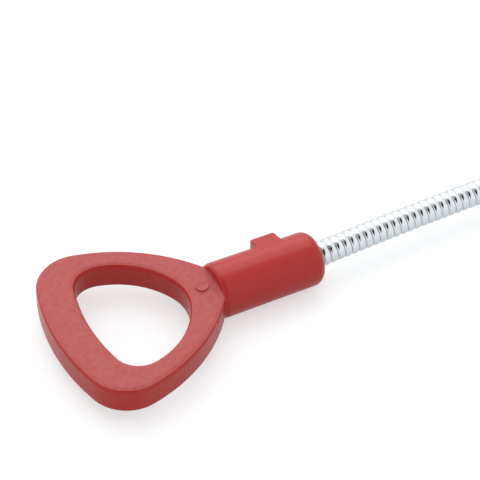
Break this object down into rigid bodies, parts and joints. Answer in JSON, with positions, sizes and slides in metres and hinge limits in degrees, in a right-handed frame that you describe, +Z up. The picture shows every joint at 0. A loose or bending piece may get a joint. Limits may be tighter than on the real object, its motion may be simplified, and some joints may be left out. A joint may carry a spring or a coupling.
{
  "type": "transmission dipstick",
  "caption": "Long slim dipstick with a red finger-loop handle, a barrel that plugs the filler tube, a close-wound coil shaft and a flat gauge blade at the far end.",
  "frame": {"origin": "on the shaft's axis at the front face of the barrel's tab, where the tube's mouth stops", "axes": "+X along the shaft towards the blade, +Z up and square to the finger loop's flat faces, +Y towards the tab"},
  "size_m": [0.4421, 0.0478, 0.0142],
  "materials": {
    "red_plastic": "satin, as moulded",
    "plated_wire": "bright zinc plating",
    "bright_steel": "fine brushed"
  },
  "bodies": {
    "root": {"handle": "red_plastic", "shaft_coil": "plated_wire", "core_wire": "bright_steel", "tip_ferrule": "bright_steel", "gauge_blade": "bright_steel"}
  },
  "joints": []
}
